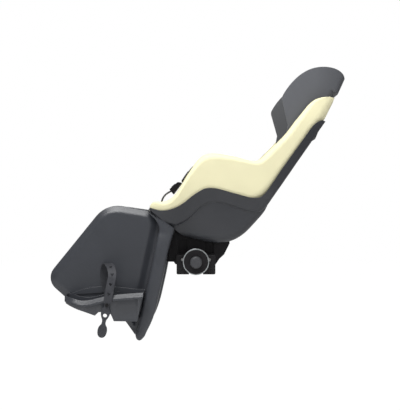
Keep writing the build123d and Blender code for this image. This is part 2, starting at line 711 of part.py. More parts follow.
def make_harness():
    """Crotch strap, buckle and button, and the left shoulder strap with its tongue, pad and adjuster."""
    outline = Plane.XZ * make_face(Polyline(*buckle_outline, close=True))
    body = extrude(Pos(0, buckle_half, 0) * outline, 2 * buckle_half, dir=(0, -1, 0))
    body = fillet(body.edges().filter_by(Axis.Y), 2)
    a, b = [Vector(x, 0, z) for x, z in buckle_outline[:2]]
    along = (b - a).normalized()
    out = Vector(-along.Z, 0, along.X)
    face = Plane((a + b) * 0.5, x_dir=along, z_dir=out)
    well = Box(button_long + 2 * run, 2 * button_half + 2 * run, 2 * button_travel + 6)
    well = face * Pos(0, 0, -button_travel - 1) * well
    button = face * Pos(0, 0, -0.5) * Box(button_long, 2 * button_half, 5)
    strap = extrude(Pos(0, webbing_wide / 2, 0) * (Plane.XZ * trace(Spline(*crotch_path), webbing_thick)),
                    webbing_wide, dir=(0, -1, 0))
    strap += Pos(crotch_path[0][0], 0, crotch_path[0][1] + 2.5) * Box(12, webbing_wide + 8, 3)
    grown_half = buckle_half + gap
    grown = extrude(Pos(0, grown_half, 0) * offset(outline, gap), 2 * grown_half, dir=(0, -1, 0))
    top = shoulder_path[0][0]
    left = webbing(shoulder_path, webbing_thick, webbing_wide, top + 6, shoulder_path[-1][0])
    tongue = webbing(shoulder_path, 4, webbing_wide - 3, top, top + 18)
    slit = webbing(shoulder_path, webbing_thick + 2 * gap, webbing_wide, top + 5.5, top + 60)
    tongue = (tongue - slit) - grown
    pad = webbing(shoulder_path, 11, webbing_wide + 10, 105, 205)
    slider = webbing(shoulder_path, 6, webbing_wide + 6, 44, 64)
    loose = webbing(shoulder_path, webbing_thick + 2 * gap, webbing_wide + 2 * gap, 0, 280)
    return strap - grown, body - well, button, left, tongue, pad - loose, slider - loose


def make_liner(low, high):
    """Soft pad on the tub between two angles, one gap above the skin."""
    rows = [row for row in tub_rows if low < row[0] < high]
    rows = [tub_row(low)] + rows + [tub_row(high)]
    faces = []
    for row in rows:
        angle, pan = row[0], row[3]
        deep = liner_thick + 6
        rect = Pos(0, pan - wall - liner_thick + deep / 2) * Rectangle(2 * liner_half, deep)
        faces.append(swing_plane(angle) * rect)
    return loft(faces) & tub_fill(-wall - gap)


def shell_screws(grow):
    """Screws through the back cover into the seat's back; grown, they cut their own holes."""
    screws = []
    for angle in (47, 61):
        for y in (-62, 62):
            frame = back_frame(angle, band_low(angle), y)
            shank = frame * Pos(0, 0, -6) * Cylinder(screw_r + grow, 14)
            head = (frame * Pos(0, 0, 0.5) * Cylinder(head_r, 4.5)) - band_fill(-0.1, 0, 0)
            screws.append(shank if grow else shank + head)
    return Part() + screws if grow else screws


def guard_screws(grow):
    """Screws from inside the base through its slanted wall into the rails of both leg guards."""
    along = Vector(slant_low[0] - slant_top[0], 0, slant_low[1] - slant_top[1]).normalized()
    inward = Vector(-along.Z, 0, along.X)
    screws = []
    for y in (-guard_screw_y, guard_screw_y):
        for share in (0.62, 0.74):
            x = slant_top[0] + (slant_low[0] - slant_top[0]) * share
            z = slant_top[1] + (slant_low[1] - slant_top[1]) * share
            frame = Plane((x, y, z), x_dir=along, z_dir=inward)
            shank = frame * Pos(0, 0, -5) * Cylinder(screw_r + grow, 2 * base_wall + 12)
            head = frame * Pos(0, 0, base_wall + 0.1 + head_deep / 2) * Cylinder(head_r, head_deep)
            screws.append(shank if grow else shank + head)
    return Part() + screws if grow else screws


def save(node, *shapes):
    """One file for each node; a node of several like pieces holds them as separate solids."""
    solids = [solid for shape in shapes for solid in shape.solids()]
    whole = solids[0] if len(solids) == 1 else Compound(children=solids)
    export_step(whole, "parts/" + node + ".step")
    print(node, len(solids), all(solid.is_valid for solid in solids), round(sum(s.volume for s in solids)))


base_shell -= bracket_bolts(gap)
base_shell -= guard_screws(0.2)
base_shell -= shell_screws(0.2)
seat_shell -= shell_screws(0.2)
slot_end = shoulder_path[-1][0]
webbing_slot = webbing(shoulder_path, webbing_thick + 2, webbing_wide + 2, slot_end - 22, slot_end + 2)
seat_shell -= webbing_slot
seat_shell -= mirrored(webbing_slot)
save("seat_shell", seat_shell)
save("base_shell", base_shell)
save("carrier_bracket", make_bracket())
save("bracket_bolts", *bracket_bolts(0))
left_jaw = make_jaw()
save("left_jaw", left_jaw)
save("right_jaw", mirrored(left_jaw))
left_pads = make_jaw_pads()
save("left_jaw_pads", *left_pads)
save("right_jaw_pads", *[mirrored(pad) for pad in left_pads])
for node, shape in zip(("knob_body", "knob_ring", "knob_cap"), make_knob()):
    save(node, shape)
spindle, collars = make_spindle()
save("clamp_spindle", spindle)
save("spindle_collars", *collars)
save("guide_rods", *[rod(guide_r, -guide_end, guide_end, x, guide_z) for x in (-guide_x, guide_x)])
left_guard = make_guard() - guard_screws(0.2)
left_tray = make_tray()
left_strap = make_foot_strap()
left_pegs = make_pegs()
for side, turn in (("left", lambda shape: shape), ("right", mirrored)):
    save(side + "_leg_guard", turn(left_guard))
    save(side + "_footrest", turn(left_tray))
    save(side + "_foot_strap", turn(left_strap))
    save(side + "_strap_pegs", *[turn(peg) for peg in left_pegs])
save("headrest_shell", head_frame() * make_headrest())
save("headrest_latch", head_frame() * make_latch())
save("headrest_keys", *make_keys())
housing, lens = make_reflector()
save("reflector_housing", housing)
save("rear_reflector", lens)
crotch, buckle, button, shoulder, tongue, pad, slider = make_harness()
save("crotch_strap", crotch)
save("buckle_body", buckle)
save("buckle_button", button)
for side, turn in (("left", lambda shape: shape), ("right", mirrored)):
    save(side + "_shoulder_strap", turn(shoulder))
    save(side + "_shoulder_pad", turn(pad))
save("buckle_tongues", tongue, mirrored(tongue))
save("strap_sliders", slider, mirrored(slider))
bar_x, bar_z = shoulder_path[-1]
save("harness_bar", rod(bar_r, -78, 78, bar_x + bar_r + gap, bar_z))
save("seat_liner", make_liner(1, 33))
save("back_liner", make_liner(43, 55))
save("shell_screws", *shell_screws(0))
save("guard_screws", *guard_screws(0))
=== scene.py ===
# %% [markdown]
# A child seat for the rear carrier of a bicycle. A pale moulded bucket sits in a charcoal base, a winged headrest
# slides in its back, two leg guards carry sliding foot trays, and a knob under the seat closes two jaws on the
# carrier. Most rigid pieces come from the CAD frame, in metres, and stay where they are. This lesson gives them
# their finishes and makes the soft pieces: webbing, liners, shoulder pads, stitches and rubber foot straps. It
# also gives the leg guards and the foot trays softer forms, and adds the front shoulder of the bracket.

# %% Load the frame
import bisect
import bpy
import bmesh
import json
import math
from mathutils import Matrix, Vector
from mathutils.bvhtree import BVHTree
from mathutils.geometry import interpolate_bezier


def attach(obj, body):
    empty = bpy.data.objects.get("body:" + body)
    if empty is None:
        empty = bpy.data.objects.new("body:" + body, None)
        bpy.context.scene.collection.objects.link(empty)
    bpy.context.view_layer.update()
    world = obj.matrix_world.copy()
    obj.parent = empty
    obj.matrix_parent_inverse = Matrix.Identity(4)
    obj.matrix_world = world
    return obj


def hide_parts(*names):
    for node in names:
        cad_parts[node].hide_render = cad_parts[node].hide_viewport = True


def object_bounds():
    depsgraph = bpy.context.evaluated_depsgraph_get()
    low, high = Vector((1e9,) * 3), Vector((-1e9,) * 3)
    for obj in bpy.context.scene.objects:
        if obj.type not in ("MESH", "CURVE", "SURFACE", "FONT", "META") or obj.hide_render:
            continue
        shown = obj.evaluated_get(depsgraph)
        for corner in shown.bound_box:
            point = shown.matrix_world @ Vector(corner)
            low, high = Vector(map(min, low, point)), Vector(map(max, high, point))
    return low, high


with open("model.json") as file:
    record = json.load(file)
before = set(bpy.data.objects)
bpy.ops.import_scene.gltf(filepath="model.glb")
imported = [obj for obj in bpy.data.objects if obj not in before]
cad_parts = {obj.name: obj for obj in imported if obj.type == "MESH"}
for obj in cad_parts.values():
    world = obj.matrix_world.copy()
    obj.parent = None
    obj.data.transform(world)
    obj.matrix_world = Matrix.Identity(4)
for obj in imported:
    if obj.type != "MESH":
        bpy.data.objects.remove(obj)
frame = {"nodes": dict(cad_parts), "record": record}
cad_box = [list(corner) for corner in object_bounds()]
nodes = frame["nodes"]
scene = bpy.context.scene
MM = 0.001
print("nodes:", len(nodes), "box:", [[round(v, 3) for v in corner] for corner in cad_box])

# %% [markdown]
# The camera stands square to the rider's left side, at the height of the seat's hollow. A lens can be set by a
# field of view or by a focal length; here the focal length follows from one measured scale, 2.80 mm of object for
# each pixel of a picture 410 pixels tall, seen from 2.02 m. A small shift moves the picture, not the view
# direction.

# %% Camera
PICTURE_TALL = 410
MM_PER_PIXEL = 2.80
SHIFT_PIXELS = (4, 10)
SENSOR_MM = 36
EYE = Vector((0.0, -2.020, 0.135))
camera = bpy.data.objects.new("camera", bpy.data.cameras.new("camera"))
scene.collection.objects.link(camera)
camera.location = EYE
camera.rotation_euler = (math.radians(90), 0, 0)
camera.data.sensor_width = SENSOR_MM
camera.data.lens = SENSOR_MM * -EYE.y * 1000 / (PICTURE_TALL * MM_PER_PIXEL)
camera.data.shift_x, camera.data.shift_y = (pixels / PICTURE_TALL for pixels in SHIFT_PIXELS)
camera.data.clip_end = 50
scene.camera = camera
print("lens", round(camera.data.lens, 2))

# %% [markdown]
# Shader graphs get long when each sum is wired by hand. A small class wraps a node's output, so that a sum of two
# outputs is written as a Python sum and adds its own Math nodes. One method makes every other node.

# %% Sockets that add up


class Wire:
    """A node's output that can be used in Python sums."""

    def __init__(self, graph, socket):
        self.graph = graph
        self.socket = socket

    def math(self, operation, first, second):
        return self.graph.node("ShaderNodeMath", {"operation": operation}, {0: first, 1: second})

    def __add__(self, other):
        return self.math("ADD", self, other)

    def __sub__(self, other):
        return self.math("SUBTRACT", self, other)

    def __mul__(self, other):
        return self.math("MULTIPLY", self, other)

    def __rsub__(self, other):
        return self.math("SUBTRACT", other, self)

    __radd__ = __add__
    __rmul__ = __mul__


class Graph:
    """A node tree whose nodes are all made by one method."""

    def __init__(self, tree):
        self.tree = tree

    def node(self, kind, settings=None, inputs=None, out=0):
        made = self.tree.nodes.new(kind)
        for key, value in (settings or {}).items():
            setattr(made, key, value)
        for key, value in (inputs or {}).items():
            self.feed(made.inputs[key], value)
        return Wire(self, made.outputs[out])

    def feed(self, socket, value):
        if isinstance(value, Wire):
            self.tree.links.new(value.socket, socket)
        elif hasattr(socket.default_value, "__len__") and len(socket.default_value) == 4 and len(value) == 3:
            socket.default_value = (*value, 1)
        else:
            socket.default_value = value


print("wires add up:", [name for name in vars(Wire) if name.startswith("__r")])

# %% [markdown]
# Every finish here is one Principled shader with patterns in front of it. The same few patterns come back in
# each: noise, a mask between two values, a mix of two colours, a bump, and a normal that is rounded at sharp
# edges. They could be wired in the shader editor; as methods, each is one line in a recipe.

# %% Finish


class Finish(Graph):
    """One material with one Principled shader, and the patterns that feed it."""

    def __init__(self, name):
        self.material = bpy.data.materials.new(name)
        self.material.use_nodes = True
        super().__init__(self.material.node_tree)
        self.shader = self.tree.nodes["Principled BSDF"]

    def set(self, **values):
        for key, value in values.items():
            self.feed(self.shader.inputs[key.replace("_", " ").title().replace("Ior", "IOR")], value)

    def place(self):
        return self.node("ShaderNodeTexCoord", out="Object")

    def noise(self, where, scale, detail=2.0, roughness=0.5):
        values = {"Vector": where, "Scale": scale, "Detail": detail, "Roughness": roughness}
        return self.node("ShaderNodeTexNoise", {}, values)

    def cells(self, where, scale, randomness=1.0, out="Distance"):
        values = {"Vector": where, "Scale": scale, "Randomness": randomness}
        return self.node("ShaderNodeTexVoronoi", {}, values, out)

    def part(self, vector, axis):
        return self.node("ShaderNodeSeparateXYZ", {}, {"Vector": vector}, axis)

    def between(self, value, low, high):
        """0 at the low value, 1 at the high one."""
        return self.node("ShaderNodeMapRange", {}, {0: value, 1: low, 2: high})

    def mix(self, share, first, second):
        return self.node("ShaderNodeMix", {"data_type": "RGBA"}, {0: share, 6: first, 7: second}, out=2)

    def soft_edge(self, radius):
        """Surface normal with sharp edges rounded off by a radius."""
        return self.node("ShaderNodeBevel", {"samples": 6}, {"Radius": radius})

    def edge_mask(self, rounded):
        """1 along convex and concave edges, 0 on open faces."""
        both = {0: rounded, 1: self.node("ShaderNodeNewGeometry", out="Normal")}
        same = self.node("ShaderNodeVectorMath", {"operation": "DOT_PRODUCT"}, both, out="Value")
        return self.between(same, low=0.999, high=0.86)

    def bump(self, height, strength, distance, normal=None):
        inputs = {"Height": height, "Strength": strength, "Distance": distance}
        if normal is not None:
            inputs["Normal"] = normal
        return self.node("ShaderNodeBump", {}, inputs)


print("patterns:", [name for name in vars(Finish) if not name.startswith("_")])

# %% [markdown]
# The background is plain white with no edge, as in a catalogue picture. It could be a huge white wall, but a wall
# also throws light on the object. Here the world shows white only to the camera, and lights the object at a
# lower, plain level, so that the lamps alone draw the light strips on slopes that face up.

# %% World
AMBIENT = 0.25
WHITE = (1, 1, 1)
world = bpy.data.worlds.new("studio")
world.use_nodes = True
scene.world = world
scene.view_settings.view_transform = "Standard"
sky = Graph(world.node_tree)
sky.tree.nodes.clear()
camera_ray = sky.node("ShaderNodeLightPath", out="Is Camera Ray")
clear_ray = sky.node("ShaderNodeLightPath", out="Is Transmission Ray")
light_part = sky.node("ShaderNodeBackground", {}, {"Color": WHITE, "Strength": AMBIENT})
shown_part = sky.node("ShaderNodeBackground", {}, {"Color": WHITE})
seen = camera_ray.math("MAXIMUM", camera_ray, clear_ray)
choice = sky.node("ShaderNodeMixShader", {}, {0: seen, 1: light_part, 2: shown_part})
sky.feed(sky.tree.nodes.new("ShaderNodeOutputWorld").inputs["Surface"], choice)
print("world nodes:", len(sky.tree.nodes))

# %% [markdown]
# The floor is pale and far enough below the seat for a soft shadow, because the seat is held up by the carrier
# and not by the floor. A plain white floor turns grey under the lamps, so it also glows a little, to the camera
# alone.

# %% Floor
FLOOR_DROP, FLOOR_HALF = 0.42, 9
GLOW, GLOW_SHARE = 1.06, 0.93
floor_z = cad_box[0][2] - FLOOR_DROP
corners = [(x * FLOOR_HALF, y * FLOOR_HALF, floor_z) for x, y in ((-1, -1), (1, -1), (1, 1), (-1, 1))]
floor_mesh = bpy.data.meshes.new("floor")
floor_mesh.from_pydata(corners, [], [(0, 1, 2, 3)])
floor = bpy.data.objects.new("floor", floor_mesh)
scene.collection.objects.link(floor)
pale = Finish("pale_floor")
pale.set(base_color=(0.9, 0.9, 0.9), roughness=0.9, specular_ior_level=0.0)
on_camera = pale.node("ShaderNodeLightPath", out="Is Camera Ray")
plain = Wire(pale, pale.shader.outputs[0])
glow = pale.node("ShaderNodeEmission", {}, {"Color": WHITE, "Strength": GLOW})
both = pale.node("ShaderNodeMixShader", {}, {0: on_camera * GLOW_SHARE, 1: plain, 2: glow})
pale.feed(pale.tree.nodes["Material Output"].inputs["Surface"], both)
floor_mesh.materials.append(pale.material)
print("floor at", round(floor_z, 3))

# %% [markdown]
# Three large soft lamps: a key above the front on the camera's side, a wide fill near the camera that is left out
# of reflections, and a weaker lamp behind that draws a line of light along the back. Small lamps would give hard
# shadows, which the picture doesn't have.

# %% Lamps


def lamp(name, place, aim, size, power):
    """Square soft lamp that faces a point."""
    data = bpy.data.lights.new(name, "AREA")
    data.size = size
    data.energy = power
    obj = bpy.data.objects.new(name, data)
    scene.collection.objects.link(obj)
    obj.location = place
    obj.rotation_euler = (Vector(aim) - Vector(place)).to_track_quat("-Z", "Y").to_euler()
    return obj


lamp("key", place=(-0.5, -1.3, 2.0), aim=(0.0, 0.0, 0.15), size=1.4, power=62)
fill = lamp("fill", place=(0.2, -2.7, 0.35), aim=(0.0, 0.0, 0.15), size=1.5, power=24)
fill.visible_glossy = False
lamp("back", place=(1.5, 1.2, 1.5), aim=(0.1, 0.0, 0.2), size=1.2, power=16)

# %% [markdown]
# Most of the seat is moulded plastic. A mould leaves a very fine grain, slow changes of tone where the plastic
# flowed, and edges that catch light because they are never quite sharp. All three come from nodes: noises on
# object coordinates and a Bevel node that rounds the normal at edges. Along the edges the colour also carries a
# painted highlight, mixed towards a lighter tone. The same recipe with other colours makes the pale bucket, the
# charcoal shells and the black clamp; for the headrest it also paints shade on faces turned inward and towards
# its back.

# %% Moulded plastics
finishes = {}


def moulded(name, colour, roughness, grain, painted_edge_highlight, shine, tone=0.08, inside=None):
    """Moulded plastic: slow tone changes, fine grain, a painted highlight along edges, faint scuffs; maybe painted
    shade.
    """
    f = Finish(name)
    where = f.place()
    flow = f.between(f.noise(where, scale=7.0, detail=3.0), low=0.3, high=0.7)
    fine = f.noise(where, scale=1100.0, detail=2.0, roughness=0.6)
    scuff = f.between(f.noise(where, scale=55.0, detail=6.0, roughness=0.7), low=0.62, high=0.78)
    rounded = f.soft_edge(radius=0.0012)
    edges = f.edge_mask(rounded)
    dark = tuple(c * (1 - tone) for c in colour)
    light = tuple(min(1.0, c * (1 + tone)) for c in colour)
    edge_highlight_colour = tuple(c + (1 - c) * painted_edge_highlight for c in colour)
    body = f.mix(flow, dark, light)
    # painted shade: faces turned inward, and the back from x 0.31 m on, are mixed towards a darker colour
    if inside:
        facing = f.node("ShaderNodeTexCoord", out="Normal")
        apart, turned, along = f.part(where, "Y"), f.part(facing, "Y"), f.part(where, "X")
        body = f.mix(f.between(apart * turned, low=0.0, high=-0.04), body, inside)
        body = f.mix(f.between(along, low=0.31, high=0.40) * 0.75, body, inside)
    # painted highlight: along edges the colour is mixed towards a lighter one
    body = f.mix(edges * 0.6, body, edge_highlight_colour)
    f.set(base_color=body, roughness=(fine - 0.5) * 0.12 + scuff * 0.07 + roughness,
          normal=f.bump(fine, strength=grain, distance=0.0002, normal=rounded), specular_ior_level=shine)
    finishes[name] = f.material


moulded("shell_yellow", (0.775, 0.735, 0.488), roughness=0.50, grain=0.10, painted_edge_highlight=0.35, shine=0.15, tone=0.025)
moulded("shell_charcoal", (0.033, 0.0355, 0.042), roughness=0.34, grain=0.22, painted_edge_highlight=0.10, shine=0.50)
moulded("bracket_black", (0.0105, 0.0100, 0.0110), roughness=0.42, grain=0.20, painted_edge_highlight=0.05, shine=0.14)
# the headrest's lighter grey is painted reflected light; its darker second colour is painted shade
moulded("headrest_painted_light_and_shade", (0.112, 0.116, 0.127), roughness=0.38, grain=0.22, painted_edge_highlight=0.10, shine=0.30,
        inside=(0.050, 0.052, 0.057))
moulded("base_charcoal", (0.026, 0.0275, 0.032), roughness=0.36, grain=0.22, painted_edge_highlight=0.10, shine=0.40)
moulded("knob_grey", (0.045, 0.046, 0.050), roughness=0.40, grain=0.22, painted_edge_highlight=0.10, shine=0.25)
print("moulded:", sorted(finishes))

# %% [markdown]
# The small materials. Rubber is matt, lighter where dust lies, with a painted highlight along its edges; plated
# steel is drawn in one direction, so its noise is stretched along the bar; the silver ring is paint with tiny
# flakes; and the reflector is a clear red lens over a honeycomb of prisms, made by a Voronoi pattern.

# %% Rubber, steel, silver and red lens


def rubber(name, colour):
    f = Finish(name)
    where = f.place()
    dust = f.between(f.noise(where, scale=40.0, detail=5.0, roughness=0.65), low=0.45, high=0.75)
    fine = f.noise(where, scale=1600.0, detail=2.0)
    rounded = f.soft_edge(radius=0.0008)
    dust_and_edge_highlight_colour = tuple(c * 1.9 + 0.01 for c in colour)
    # lighter where dust lies, which is real, and along edges, where the lighter colour is a painted highlight
    body = f.mix(dust * 0.35 + f.edge_mask(rounded) * 0.4, colour, dust_and_edge_highlight_colour)
    f.set(base_color=body, roughness=dust * 0.12 + 0.55, specular_ior_level=0.2,
          normal=f.bump(fine, strength=0.2, distance=0.0002, normal=rounded))
    finishes[name] = f.material


def drawn_steel(name):
    f = Finish(name)
    where = f.node("ShaderNodeMapping", {}, {"Vector": f.place(), "Scale": (900, 14, 900)})
    lines = f.noise(where, scale=1.0, detail=3.0, roughness=0.6)
    body = f.mix(lines, (0.42, 0.42, 0.41), (0.66, 0.66, 0.65))
    f.set(base_color=body, metallic=1.0, roughness=lines * 0.2 + 0.24,
          normal=f.bump(lines, strength=0.08, distance=0.0001, normal=f.soft_edge(radius=0.0005)))
    finishes[name] = f.material


def silver_paint(name):
    f = Finish(name)
    flakes = f.cells(f.place(), scale=2600.0)
    body = f.mix(f.between(flakes, low=0.1, high=0.6), (0.42, 0.45, 0.46), (0.54, 0.57, 0.58))
    f.set(base_color=body, metallic=0.85, roughness=flakes * 0.12 + 0.26, coat_weight=0.3,
          normal=f.bump(flakes, strength=0.05, distance=0.0001, normal=f.soft_edge(radius=0.0008)))
    finishes[name] = f.material


def prism_lens(name):
    f = Finish(name)
    where = f.place()
    cells = f.cells(where, scale=330.0)
    tint = f.cells(where, scale=330.0, out="Color")
    tone = f.node("ShaderNodeSeparateColor", {}, {"Color": tint}, out="Red")
    body = f.mix(tone * 0.7 + cells * 0.3, (0.30, 0.004, 0.004), (0.78, 0.03, 0.02))
    f.set(base_color=body, roughness=cells * 0.2 + 0.08, coat_weight=1.0,
          normal=f.bump(cells, strength=0.25, distance=0.0006, normal=f.soft_edge(radius=0.0006)))
    finishes[name] = f.material


rubber("strap_rubber", (0.036, 0.037, 0.042))
drawn_steel("steel")
silver_paint("knob_silver")
prism_lens("reflector_red")
print("finishes:", sorted(finishes))

# %% [markdown]
# Cloth needs threads. Webbing is ribbed along its length with a fine weft across it, so its pattern follows the
# strap's own UV map, which is in metres: u along, v across. The liner is an open knitted mesh, a Voronoi
# pattern with dark holes. It runs in every direction, so object coordinates are enough there.

# %% Webbing and knitted liner
RIB_WIDE, WEFT_WIDE = 0.0021, 0.0013


def woven(name, colour):
    f = Finish(name)
    where = f.node("ShaderNodeUVMap", {"uv_map": "strap"})
    u, v = f.part(where, "X"), f.part(where, "Y")
    ribs = f.node("ShaderNodeMath", {"operation": "SINE"}, {0: v * (2 * math.pi / RIB_WIDE)})
    weft = f.node("ShaderNodeMath", {"operation": "SINE"}, {0: u * (2 * math.pi / WEFT_WIDE) + ribs * 1.5})
    thread = ribs * 0.32 + weft * 0.18 + 0.5
    fuzz = f.noise(f.place(), scale=800.0, detail=3.0)
    light = tuple(c * 2.6 + 0.006 for c in colour)
    body = f.mix(thread * 0.75 + fuzz * 0.25, tuple(c * 0.5 for c in colour), light)
    f.set(base_color=body, roughness=fuzz * 0.15 + 0.62, sheen_weight=0.25,
          normal=f.bump(thread, strength=0.5, distance=0.0004))
    finishes[name] = f.material


def knitted(name, colour):
    f = Finish(name)
    where = f.place()
    holes = f.cells(where, scale=330.0, randomness=0.25)
    pit = f.between(holes, low=0.12, high=0.42)
    fuzz = f.noise(where, scale=1200.0, detail=2.0)
    slow = f.noise(where, scale=12.0, detail=3.0)
    thread = f.mix(slow, tuple(c * 0.85 for c in colour), tuple(c * 1.2 for c in colour))
    body = f.mix(pit * 0.85 + fuzz * 0.15, tuple(c * 0.22 for c in colour), thread)
    f.set(base_color=body, roughness=fuzz * 0.1 + 0.75, sheen_weight=0.3,
          normal=f.bump(pit, strength=0.6, distance=0.0007))
    finishes[name] = f.material


woven("webbing", (0.030, 0.030, 0.034))
knitted("liner_fabric", (0.115, 0.12, 0.13))
print("cloth finishes:", [k for k in finishes if k in ("webbing", "liner_fabric")])

# %% [markdown]
# Each CAD node names its material slot in the record, so one loop paints the whole frame. Four nodes differ in
# tone from the rest of their slot in the photograph, and get a finish of their own. The headrest's lighter grey
# is painted reflected light, and its darker inner faces and back are painted shade.

# %% Paint the frame
slot_of = {row["node"]: row["material_slot"] for row in frame["record"]["subparts"]}
# the headrest's finish carries painted reflected light and painted shade
special = {"headrest_shell": "headrest_painted_light_and_shade", "base_shell": "base_charcoal", "knob_cap": "knob_grey",
           "buckle_button": "knob_grey"}
for name, obj in nodes.items():
    obj.data.materials.clear()
    obj.data.materials.append(finishes[special.get(name, slot_of[name])])
print("painted:", len(slot_of))

# %% [markdown]
# The harness is flat webbing. A cloth simulation loses so thin a strip, so each strap is swept: a smooth line
# runs through the few points of its course, and a thin section with soft edges follows it. The strip carries a UV
# map in metres, along and across, which the woven finish reads.

# %% Swept straps


def smooth_line(points, fine=12):
    """Points of a smooth line through the given ones: one Bezier arc between each two."""
    points = [Vector(p) for p in points]
    line = [points[0]]
    for i in range(len(points) - 1):
        a, b = points[i], points[i + 1]
        before = points[i - 1] if i else a
        after = points[i + 2] if i + 2 < len(points) else b
        reach = (b - a).length / 3
        leave = a + (b - before).normalized() * reach
        arrive = b - (after - a).normalized() * reach
        line += interpolate_bezier(a, leave, arrive, b, fine)[1:]
    return line


def piece(name, mesh, slot, body, replaced=()):
    """New object at the origin with a record slot's finish, carried by a body."""
    mesh.name = name
    mesh.materials.clear()
    mesh.materials.append(finishes[slot])
    obj = bpy.data.objects.new(name, mesh)
    scene.collection.objects.link(obj)
    for polygon in mesh.polygons:
        polygon.use_smooth = True
    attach(obj, body)
    if replaced:
        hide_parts(*replaced)
    return obj


def as_mesh(bm, name):
    """A new mesh with what the bmesh holds; the bmesh is freed."""
    mesh = bpy.data.meshes.new(name)
    bm.to_mesh(mesh)
    bm.free()
    return mesh


across = Vector((0, 1, 0))


def ribbon(line, wide, thick):
    """Mesh of a flat strap along a line, level across the seat."""
    half, deep, soft = wide / 2, thick / 2, thick * 0.35
    section = [(half, -0.4 * deep), (half, 0.4 * deep), (half - soft, deep), (0, deep), (soft - half, deep),
               (-half, 0.4 * deep), (-half, -0.4 * deep), (soft - half, -deep), (0, -deep), (half - soft, -deep)]
    bm = bmesh.new()
    uv = bm.loops.layers.uv.new("strap")
    rings, run = [], [0.0]
    for i, spot in enumerate(line):
        ahead = (line[min(i + 1, len(line) - 1)] - line[max(i - 1, 0)]).normalized()
        side = (across - ahead * across.dot(ahead)).normalized()
        up = side.cross(ahead)
        rings.append([bm.verts.new(spot + side * x + up * y) for x, y in section])
        if i:
            run.append(run[-1] + (spot - line[i - 1]).length)
    count = len(section)
    for i in range(len(rings) - 1):
        for j in range(count):
            k = (j + 1) % count
            face = bm.faces.new((rings[i][j], rings[i][k], rings[i + 1][k], rings[i + 1][j]))
            places = ((i, j), (i, k), (i + 1, k), (i + 1, j))
            for loop, (row, column) in zip(face.loops, places):
                loop[uv].uv = (run[row], section[column][0])
    bm.faces.new(rings[0])
    bm.faces.new(list(reversed(rings[-1])))
    bmesh.ops.recalc_face_normals(bm, faces=bm.faces)
    return as_mesh(bm, "strap")


print("a strap is a section swept along", len(smooth_line([(0, 0, 0), (1, 0, 0)])), "points for each stretch")

# %% [markdown]
# Each course is a few points in the side view, in millimetres, read off the photo where it shows the strap. The
# two shoulder straps run apart towards the back. The crotch strap stands on a small anchor plate, a plain block.

# %% Harness straps
SHOULDER = [(-40, 227), (-19, 257), (0, 275), (36, 286), (90, 270), (150, 255), (207, 261), (247, 294),
            (301.4, 340.6)]
SHOULDER_NEAR, SHOULDER_SPREAD = 13, 41
UNDER_BUCKLE = 6
CROTCH = [(-102, 138), (-99, 160), (-93, 181), (-84, 193), (-66, 204)]
WEBBING_WIDE, WEBBING_THICK, CROTCH_THICK = 25 * MM, 1.8 * MM, 4 * MM
ANCHOR_SPOT, ANCHOR_SIZE = Vector((-102, 0, 140.5)) * MM, Vector((12, 33, 3)) * MM


def shoulder_y(x):
    """Middle of a shoulder strap across the seat: near the buckle at the front, apart at the back."""
    share = (x - SHOULDER[0][0]) / (SHOULDER[-1][0] - SHOULDER[0][0])
    return (-SHOULDER_NEAR - SHOULDER_SPREAD * share) * MM


def shoulder_line(side):
    return smooth_line([(x * MM, -side * shoulder_y(x), z * MM) for x, z in SHOULDER])


for side, word in ((-1, "left"), (1, "right")):
    line = shoulder_line(side)
    line = [spot for spot in line if spot.x > (SHOULDER[0][0] + UNDER_BUCKLE) * MM]
    mesh = ribbon(line, WEBBING_WIDE, WEBBING_THICK)
    piece(word + "_shoulder_webbing", mesh, "webbing", "seat", [word + "_shoulder_strap"])
line = smooth_line([(x * MM, 0, z * MM) for x, z in CROTCH])
mesh = ribbon(line, WEBBING_WIDE, CROTCH_THICK)
bm = bmesh.new()
bm.from_mesh(mesh)
for corner in bmesh.ops.create_cube(bm, size=1)["verts"]:
    corner.co = ANCHOR_SPOT + corner.co * ANCHOR_SIZE
bm.to_mesh(mesh)
bm.free()
piece("crotch_webbing", mesh, "webbing", "seat", ["crotch_strap"])
mesh.set_sharp_from_angle(angle=math.radians(80))

# %% [markdown]
# The liners and the shoulder pads are fabric over foam. A block with bevelled edges stays a block, so each pad is
# blown up a little by a cloth simulation with pressure and no gravity, from a slightly thin start. The points
# that lie on the shell are pinned, so that a pad swells only towards the child, and a cap keeps every point near
# its start.

# %% Pads
PRESSURE, LAST_FRAME = 4, 20


def settled(obj):
    """The object's mesh with its modifiers applied."""
    graph = bpy.context.evaluated_depsgraph_get()
    graph.update()
    return bpy.data.meshes.new_from_object(obj.evaluated_get(graph))


